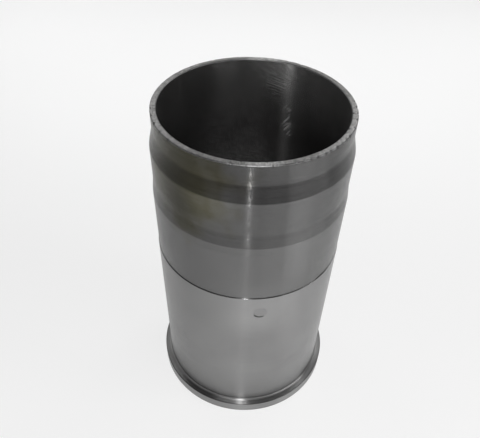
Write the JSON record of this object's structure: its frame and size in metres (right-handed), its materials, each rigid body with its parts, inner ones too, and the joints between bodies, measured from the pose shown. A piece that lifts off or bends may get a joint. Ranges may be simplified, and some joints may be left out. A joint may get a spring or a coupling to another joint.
{
  "type": "cylinder liner",
  "caption": "Turned wet cylinder liner: a long tube with a smooth through bore, a seating collar at the head end and stepped, tapered sealing lands at the crankcase end.",
  "frame": {"origin": "centre of the collar's flat resting face, on the bore's axis; the liner stands on its collar", "axes": "+Z along the bore's axis, from the head end (collar) up to the crankcase end"},
  "size_m": [0.1554, 0.1554, 0.268],
  "materials": {
    "machined_iron": "fine turned outside, honed bore, bare metal"
  },
  "bodies": {
    "root": {"cylinder_liner": "machined_iron"}
  },
  "joints": []
}
